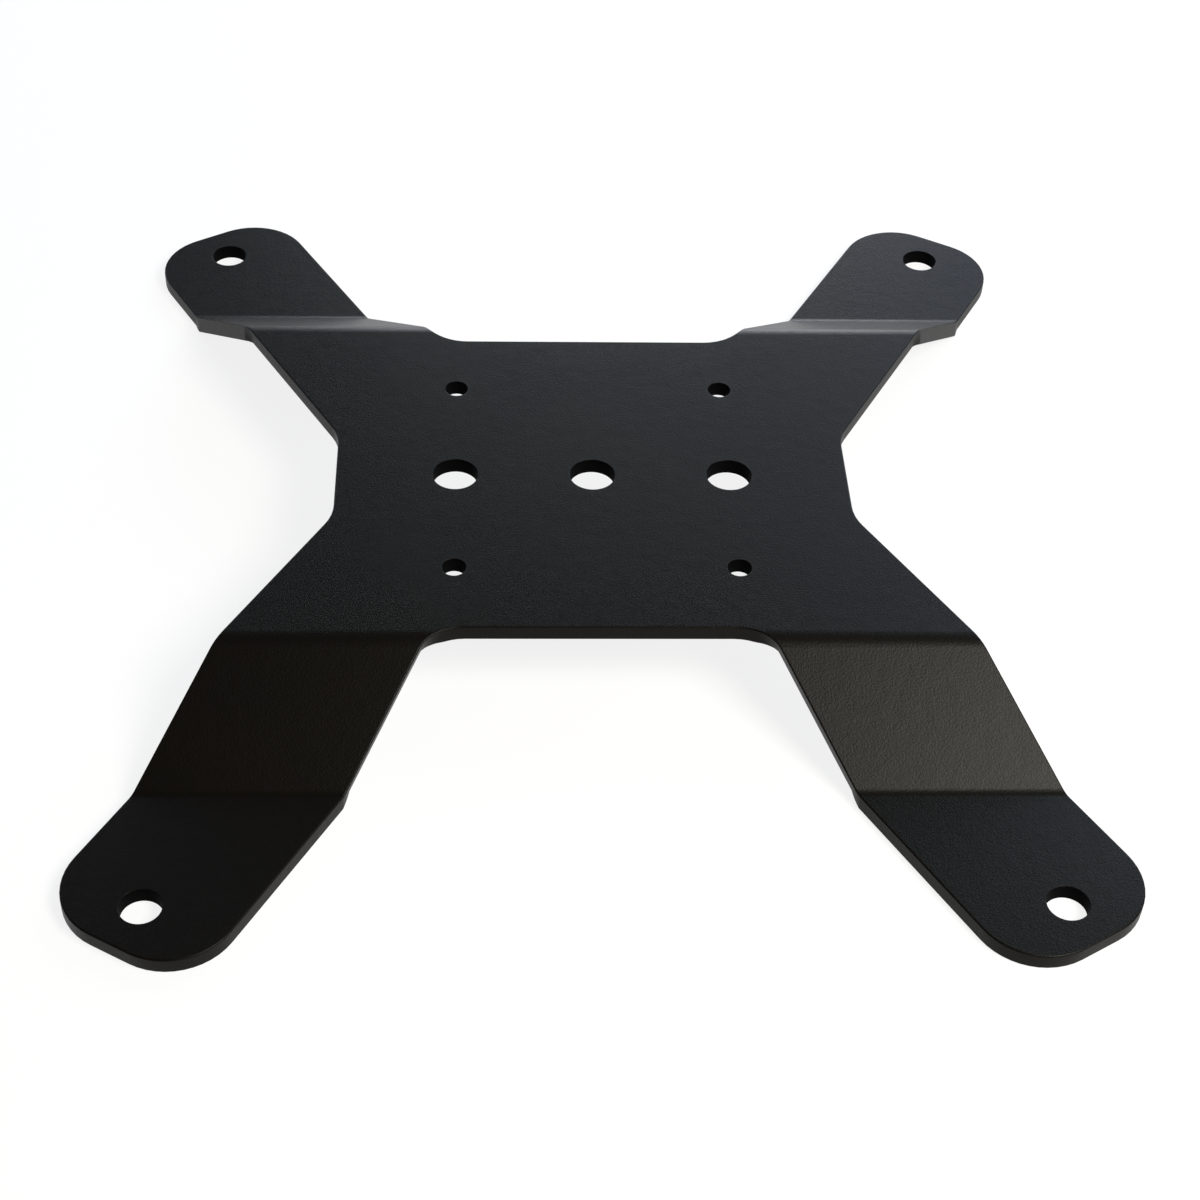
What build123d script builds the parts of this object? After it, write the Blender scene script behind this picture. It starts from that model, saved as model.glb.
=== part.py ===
from build123d import *
import math
import os

# Floor bracket: one piece of steel sheet, cut to an X outline and folded twice across each arm.
# Sizes are in millimetres and angles in degrees. X runs along the row of three large holes,
# Y from the front arms to the rear arms, and Z up from the floor that the four feet stand on.

# Steel sheet and its folds
sheet = 6.0
height = 35.0          # floor to the top of the plate
slope_angle = 33.0     # how far the middle of each arm leans below level
bend_radius = 6.0      # inside radius of every fold
front_ledge = 1.5      # level strip between the plate's front edge and the front folds
rear_ledge = 5.0       # the same at the rear, where the arms stay level a little longer

# Plate between the arms
plate_depth = 160.0    # from the straight front edge to the straight rear edge
side_length = 45.0     # straight left or right edge, between its sharp corners
front_fillet = 18.0    # front or rear edge into an arm
side_fillet = 20.0     # left or right edge into an arm

# Arms and feet
arm_width = 61.0
arm_spread = 90.0      # between the two points where the arms' centre lines meet in pairs
foot_hole_span_x = 296.0
foot_hole_span_y = 354.0
foot_hole_diameter = 14.0
foot_end = 17.0        # from the foot hole's centre to the end of the arm
foot_corner = 23.0

# Holes in the plate
small_hole_span_x = 100.0
small_hole_span_y = 100.0
small_hole_diameter = 8.5
large_hole_pitch = 50.0
large_hole_diameter = 16.5
large_hole_count = 3

# Direction of the arm that points to +X and +Y, as seen from above
foot_hole = Vector(foot_hole_span_x / 2, foot_hole_span_y / 2)
arm_root = Vector(arm_spread / 2, 0)
arm_direction = (foot_hole - arm_root).normalized()
arm_side = Vector(arm_direction.Y, -arm_direction.X)

# Height of the feet's top faces, and the turn of every fold in radians
foot_top = sheet
fold = math.radians(slope_angle)


def arm_edge_at_depth(side, depth):
    """Point where an arm's outer (side 1) or inner (side -1) edge line reaches a depth along Y."""
    start = arm_root + arm_side * (side * arm_width / 2)
    return start + arm_direction * ((depth - start.Y) / arm_direction.Y)


def quarter_outline():
    """Sharp corners and corner radii of the +X +Y quarter, from the side edge round to the rear edge."""
    tip = foot_hole + arm_direction * foot_end
    half_width = arm_side * (arm_width / 2)
    corners = [
        arm_edge_at_depth(1, side_length / 2),
        tip + half_width,
        tip - half_width,
        arm_edge_at_depth(-1, plate_depth / 2),
    ]
    radii = [side_fillet, foot_corner, foot_corner, front_fillet]
    return corners, radii


def plan_outline():
    """The whole outline as seen from above, four mirrored quarters joined with rounded corners."""
    corners, radii = quarter_outline()
    points = []
    point_radii = []
    for x_sign, y_sign in ((1, 1), (-1, 1), (-1, -1), (1, -1)):
        step = x_sign * y_sign
        points += [Vector(p.X * x_sign, p.Y * y_sign) for p in corners[::step]]
        point_radii += radii[::step]
    edge = FilletPolyline(*points, radius=point_radii, close=True)
    return make_face(edge.edges())


def folded_line(ledge, reach):
    """Top line of the bracket seen from the side, from the middle of the plate over both folds."""
    outer_radius = bend_radius + sheet
    upper_start = (plate_depth / 2 + ledge, height)
    upper_end = (
        upper_start[0] + outer_radius * math.sin(fold),
        height - outer_radius * (1 - math.cos(fold)),
    )
    lower_start_z = foot_top + bend_radius * (1 - math.cos(fold))
    slope_run = (upper_end[1] - lower_start_z) / math.tan(fold)
    lower_start = (upper_end[0] + slope_run, lower_start_z)
    lower_end = (lower_start[0] + bend_radius * math.sin(fold), foot_top)
    with BuildLine(Plane.YZ) as line:
        Line((0, height), upper_start)
        RadiusArc(upper_start, upper_end, outer_radius)
        Line(upper_end, lower_start)
        RadiusArc(lower_start, lower_end, -bend_radius)
        Line(lower_end, (reach, foot_top))
    return line.line


def folded_skin(outline):
    """Top face of the folded sheet, trimmed to the outline from above."""
    size = outline.bounding_box().size
    rear_line = folded_line(rear_ledge, size.Y)
    front_line = mirror(folded_line(front_ledge, size.Y), about=Plane.XZ)
    profile = Wire(rear_line.edges() + front_line.edges())
    strip = Shell.extrude(Pos(-size.X, 0, 0) * profile, Vector(2 * size.X, 0, 0))
    cutter = extrude(outline, amount=2 * height)
    trimmed = strip & cutter
    return Shell(trimmed.faces())


def hole_centres():
    """Centre on the top face and diameter of every hole, in the feet and in the plate."""
    corners = [(x, y) for x in (-0.5, 0.5) for y in (-0.5, 0.5)]
    holes = []
    for x, y in corners:
        holes.append((Vector(x * foot_hole_span_x, y * foot_hole_span_y, foot_top), foot_hole_diameter))
        holes.append((Vector(x * small_hole_span_x, y * small_hole_span_y, height), small_hole_diameter))
    for index in range(large_hole_count):
        x = (index - (large_hole_count - 1) / 2) * large_hole_pitch
        holes.append((Vector(x, 0, height), large_hole_diameter))
    return holes


def make_bracket():
    """The folded sheet with its edges square to its faces, drilled through the plate and the feet."""
    blank = Solid.thicken(folded_skin(plan_outline()), -sheet)
    drills = [
        Pos(centre - Vector(0, 0, sheet / 2)) * Cylinder(diameter / 2, 2 * sheet)
        for centre, diameter in hole_centres()
    ]
    return (Part() + blank - drills).solid()


os.makedirs("parts", exist_ok=True)
export_step(make_bracket(), "parts/bracket.step")
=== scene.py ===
import math

import bmesh
import bpy
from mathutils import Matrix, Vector


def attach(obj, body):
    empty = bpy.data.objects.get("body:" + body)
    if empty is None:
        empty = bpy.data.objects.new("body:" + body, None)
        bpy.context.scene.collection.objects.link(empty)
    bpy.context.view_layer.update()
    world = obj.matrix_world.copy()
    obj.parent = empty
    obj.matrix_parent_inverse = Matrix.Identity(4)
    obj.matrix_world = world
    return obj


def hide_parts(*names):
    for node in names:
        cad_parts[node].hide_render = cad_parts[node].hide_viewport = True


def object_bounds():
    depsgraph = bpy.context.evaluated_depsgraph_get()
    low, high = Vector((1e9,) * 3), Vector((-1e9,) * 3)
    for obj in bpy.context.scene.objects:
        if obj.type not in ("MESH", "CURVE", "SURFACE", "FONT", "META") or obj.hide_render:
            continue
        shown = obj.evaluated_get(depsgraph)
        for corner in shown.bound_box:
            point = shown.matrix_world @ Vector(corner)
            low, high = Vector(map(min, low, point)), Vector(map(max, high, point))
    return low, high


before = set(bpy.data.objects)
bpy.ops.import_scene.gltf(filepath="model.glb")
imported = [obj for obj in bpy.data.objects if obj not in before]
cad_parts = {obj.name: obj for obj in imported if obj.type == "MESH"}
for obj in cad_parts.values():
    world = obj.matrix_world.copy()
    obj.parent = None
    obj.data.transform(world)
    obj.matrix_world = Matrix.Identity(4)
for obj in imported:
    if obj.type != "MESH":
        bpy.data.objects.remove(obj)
cad_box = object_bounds()

# The bracket is one piece of thick steel sheet, cut to an X outline, drilled and folded twice
# across each arm. Its cut edges are broken before coating, and the coat rounds them further, so
# the outline's rims turn over in a small radius, and the drilled holes' rims in a smaller one.
outline_rim_radius = 0.0006
hole_rim_radius = 0.00025
rim_segments = 4
rim_angle = math.radians(40)   # a cut edge is sharper than this, and a fold's facets are not
widest_hole = 0.02             # a hole is narrower than this, and the outline is far wider
weld_distance = 1e-6           # joins the loose triangles of the frame's mesh
coat_number = 0                # places of the coat and of the walls' painted shade in the bracket's list of materials
wall_number = 1

sheet = bmesh.new()
sheet.from_mesh(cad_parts["bracket"].data)
bmesh.ops.remove_doubles(sheet, verts=sheet.verts, dist=weld_distance)


def is_rim(edge):
    """Whether an edge is one that was cut."""
    return edge.is_manifold and edge.calc_face_angle() > rim_angle


def rim_from(edge):
    """All the cut edges of the rim that one of them belongs to, end to end."""
    rim = {edge}
    ends = list(edge.verts)
    while ends:
        further = [found for found in ends.pop().link_edges if found not in rim and is_rim(found)]
        rim.update(further)
        ends += [vert for found in further for vert in found.verts]
    return rim


def round_rims(rims, radius):
    """Turns rims over in one radius."""
    bmesh.ops.bevel(
        sheet,
        geom=[edge for rim in rims for edge in rim],
        offset=radius,
        offset_type="OFFSET",
        affect="EDGES",
        segments=rim_segments,
        profile=0.5,
        material=-1,
        clamp_overlap=True,
    )


hole_rims = []
outline_rims = []
waiting = [edge for edge in sheet.edges if is_rim(edge)]
while waiting:
    rim = rim_from(waiting[0])
    across = [vert.co.x for edge in rim for vert in edge.verts]
    if max(across) - min(across) < widest_hole:
        hole_rims.append(rim)
    else:
        outline_rims.append(rim)
    waiting = [edge for edge in waiting if edge not in rim]

# The walls of the holes get a material of their own, painted near black as the shade that falls
# inside them, which their faces carry through the rounding.
for rim in hole_rims:
    for face in {face for edge in rim for face in edge.link_faces}:
        is_wall = abs(face.normal.z) < math.cos(rim_angle)
        face.material_index = wall_number if is_wall else coat_number
round_rims(hole_rims, hole_rim_radius)
round_rims(outline_rims, outline_rim_radius)

# Rounding can move a corner outwards by a hair, so every corner is held inside the sheet's box.
box_low, box_high = cad_box
for vert in sheet.verts:
    vert.co = [min(max(value, low), high) for value, low, high in zip(vert.co, box_low, box_high)]
for face in sheet.faces:
    face.smooth = True
bracket_mesh = bpy.data.meshes.new("coated_bracket")
sheet.to_mesh(bracket_mesh)
sheet.free()
bracket = bpy.data.objects.new("coated_bracket", bracket_mesh)
bpy.context.scene.collection.objects.link(bracket)

# Flat faces keep their own direction, so that only the folds and the rims shade as curves.
flat_faces = bracket.modifiers.new("flat_faces", "WEIGHTED_NORMAL")
flat_faces.mode = "FACE_AREA"
flat_faces.weight = 100

# The coat is a powder baked on, near black with a touch of brown. It is satin, with a fine grain
# like leather, a faint orange peel below it, and slow changes in tone where it lies thicker.
coat_dark = (0.0024, 0.0018, 0.0012, 1)
coat_light = (0.0036, 0.0026, 0.0018, 1)
coat_specular = 0.10
coat_roughness = (0.34, 0.46)
grain_size = 0.0007
grain_depth = 0.00008
peel_size = 0.006
peel_depth = 0.00006
tone_size = 0.045

coat = bpy.data.materials.new("grained_powder_coat")
coat.use_nodes = True
nodes = coat.node_tree.nodes
links = coat.node_tree.links
paint = nodes["Principled BSDF"]
paint.inputs["Specular IOR Level"].default_value = coat_specular
place = nodes.new("ShaderNodeTexCoord")


def coat_noise(size, detail, roughness):
    """Noise over the coat whose patches are about one size across."""
    noise = nodes.new("ShaderNodeTexNoise")
    noise.inputs["Scale"].default_value = 1 / size
    noise.inputs["Detail"].default_value = detail
    noise.inputs["Roughness"].default_value = roughness
    links.new(place.outputs["Object"], noise.inputs["Vector"])
    return noise.outputs["Fac"]


def coat_bump(height, depth, normal=None):
    """Relief of one depth, on top of another relief where one is given."""
    bump = nodes.new("ShaderNodeBump")
    bump.inputs["Distance"].default_value = depth
    links.new(height, bump.inputs["Height"])
    if normal:
        links.new(normal, bump.inputs["Normal"])
    return bump.outputs["Normal"]


tone = nodes.new("ShaderNodeMix")
tone.data_type = "RGBA"
tone.inputs["A"].default_value = coat_dark
tone.inputs["B"].default_value = coat_light
links.new(coat_noise(tone_size, detail=3, roughness=0.6), tone.inputs["Factor"])
links.new(tone.outputs["Result"], paint.inputs["Base Color"])

grain = coat_noise(grain_size, detail=2, roughness=0.55)
gloss = nodes.new("ShaderNodeMapRange")
gloss.inputs["To Min"].default_value = coat_roughness[0]
gloss.inputs["To Max"].default_value = coat_roughness[1]
links.new(grain, gloss.inputs["Value"])
links.new(gloss.outputs["Result"], paint.inputs["Roughness"])

peel = coat_bump(coat_noise(peel_size, detail=1, roughness=0.5), peel_depth)
links.new(coat_bump(grain, grain_depth, peel), paint.inputs["Normal"])

# The walls of the drilled holes are painted near black and reflect very little, as painted shade
# for the shadow that falls inside them. The fine rings that the drill left are real relief.
wall_shade_colour = (0.0020, 0.0020, 0.0022, 1)
wall_specular = 0.02
wall_roughness = (0.6, 0.8)
ring_size = (0.02, 0.02, 0.0004)   # wide across the hole, and fine along its axis
ring_depth = 0.00002

wall = bpy.data.materials.new("hole_wall_painted_shade")
wall.use_nodes = True
wall_nodes = wall.node_tree.nodes
wall_links = wall.node_tree.links
shaded_wall_paint = wall_nodes["Principled BSDF"]
shaded_wall_paint.inputs["Base Color"].default_value = wall_shade_colour
shaded_wall_paint.inputs["Specular IOR Level"].default_value = wall_specular
wall_place = wall_nodes.new("ShaderNodeTexCoord")
wall_scale = wall_nodes.new("ShaderNodeMapping")
wall_scale.inputs["Scale"].default_value = [1 / length for length in ring_size]
wall_links.new(wall_place.outputs["Object"], wall_scale.inputs["Vector"])
rings = wall_nodes.new("ShaderNodeTexNoise")
rings.inputs["Scale"].default_value = 1.0
rings.inputs["Detail"].default_value = 2
wall_links.new(wall_scale.outputs["Vector"], rings.inputs["Vector"])
ring_gloss = wall_nodes.new("ShaderNodeMapRange")
ring_gloss.inputs["To Min"].default_value = wall_roughness[0]
ring_gloss.inputs["To Max"].default_value = wall_roughness[1]
wall_links.new(rings.outputs["Fac"], ring_gloss.inputs["Value"])
wall_links.new(ring_gloss.outputs["Result"], shaded_wall_paint.inputs["Roughness"])
ring_relief = wall_nodes.new("ShaderNodeBump")
ring_relief.inputs["Distance"].default_value = ring_depth
wall_links.new(rings.outputs["Fac"], ring_relief.inputs["Height"])
wall_links.new(ring_relief.outputs["Normal"], shaded_wall_paint.inputs["Normal"])

# The order of the coat and of the walls' painted shade is the one that their numbers give.
bracket_mesh.materials.append(coat)
bracket_mesh.materials.append(wall)
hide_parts("bracket")
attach(bracket, "root")

# The stage is a wide pale floor under the feet. To the eye and in reflections most of its tone
# is its own, so that it reads as white and still takes the shadow, while its light on the
# bracket stays that of a plain pale floor.
floor_half_width = 60.0
floor_colour = (0.90, 0.90, 0.90, 1)
floor_roughness = 0.9
floor_specular = 0.1
floor_glow = 0.85     # how much of the floor's tone is its own, where it is looked at

floor_shape = bmesh.new()
bmesh.ops.create_grid(floor_shape, x_segments=1, y_segments=1, size=floor_half_width)
floor_mesh = bpy.data.meshes.new("pale_floor")
floor_shape.to_mesh(floor_mesh)
floor_shape.free()
floor = bpy.data.objects.new("pale_floor", floor_mesh)
bpy.context.scene.collection.objects.link(floor)
floor_paint = bpy.data.materials.new("pale_floor")
floor_paint.use_nodes = True
floor_nodes = floor_paint.node_tree.nodes
floor_links = floor_paint.node_tree.links
matt = floor_nodes["Principled BSDF"]
matt.inputs["Base Color"].default_value = floor_colour
matt.inputs["Roughness"].default_value = floor_roughness
matt.inputs["Specular IOR Level"].default_value = floor_specular
glow = floor_nodes.new("ShaderNodeEmission")
seen = floor_nodes.new("ShaderNodeLightPath")
seen_or_mirrored = floor_nodes.new("ShaderNodeMath")
seen_or_mirrored.operation = "MAXIMUM"
floor_links.new(seen.outputs["Is Camera Ray"], seen_or_mirrored.inputs[0])
floor_links.new(seen.outputs["Is Glossy Ray"], seen_or_mirrored.inputs[1])
seen_at_all = floor_nodes.new("ShaderNodeMath")
seen_at_all.operation = "MAXIMUM"
floor_links.new(seen_or_mirrored.outputs["Value"], seen_at_all.inputs[0])
floor_links.new(seen.outputs["Is Transmission Ray"], seen_at_all.inputs[1])
share = floor_nodes.new("ShaderNodeMath")
share.operation = "MULTIPLY"
share.inputs[1].default_value = floor_glow
floor_links.new(seen_at_all.outputs["Value"], share.inputs[0])
blend = floor_nodes.new("ShaderNodeMixShader")
floor_links.new(share.outputs["Value"], blend.inputs["Fac"])
floor_links.new(matt.outputs["BSDF"], blend.inputs[1])
floor_links.new(glow.outputs["Emission"], blend.inputs[2])
floor_links.new(blend.outputs["Shader"], floor_nodes["Material Output"].inputs["Surface"])
floor_mesh.materials.append(floor_paint)

# The light comes from soft boxes. The strongest is warm and hangs over the front right, where it
# shines back off the slope of that arm. Cooler ones stand behind, from the left round to the
# right, and an even fill keeps the hidden sides from going black.
fill_colour = (1.0, 1.0, 1.0, 1)
fill_strength = 0.04

world = bpy.data.worlds.new("studio")
world.use_nodes = True
world.node_tree.nodes["Background"].inputs["Color"].default_value = fill_colour
world.node_tree.nodes["Background"].inputs["Strength"].default_value = fill_strength
bpy.context.scene.world = world


def soft_box(name, place, size, power, colour):
    """A square soft light at a place, turned to face the middle of the bracket."""
    lamp = bpy.data.lights.new(name, "AREA")
    lamp.size = size
    lamp.energy = power
    lamp.color = colour
    holder = bpy.data.objects.new(name, lamp)
    holder.location = place
    holder.rotation_euler = Vector(place).to_track_quat("Z", "Y").to_euler()
    bpy.context.scene.collection.objects.link(holder)


soft_box("front_right_box", (0.50, -0.50, 0.80), 0.4, 15.0, (1.00, 0.97, 0.87))
soft_box("right_rear_box", (0.70, 0.70, 0.60), 0.6, 6.5, (0.70, 0.88, 1.00))
soft_box("rear_right_box", (0.55, 1.00, 0.50), 0.5, 1.9, (0.63, 0.70, 1.00))
soft_box("low_rear_box", (0.10, 1.10, 0.20), 0.5, 5.7, (0.90, 0.93, 1.00))
soft_box("rear_box", (0.00, 1.00, 0.60), 0.6, 0.7, (0.51, 0.89, 1.00))
soft_box("left_rear_box", (-0.70, 0.80, 0.50), 0.6, 3.4, (0.70, 0.78, 1.00))

# The camera stands in front and a little to the left, as in the photograph, and looks down on
# the bracket at 43 degrees.
camera_place = (-0.0401, -0.6468, 0.5852)
camera_turn = (46.538, -1.552, -1.519)
camera_lens = 69.76
camera_sensor = 36.0
camera_shift_x = 0.0247

camera_data = bpy.data.cameras.new("camera")
camera_data.lens = camera_lens
camera_data.sensor_width = camera_sensor
camera_data.shift_x = camera_shift_x
camera = bpy.data.objects.new("camera", camera_data)
camera.location = camera_place
camera.rotation_euler = [math.radians(angle) for angle in camera_turn]
bpy.context.scene.collection.objects.link(camera)
bpy.context.scene.camera = camera
bpy.context.scene.view_settings.view_transform = "Standard"
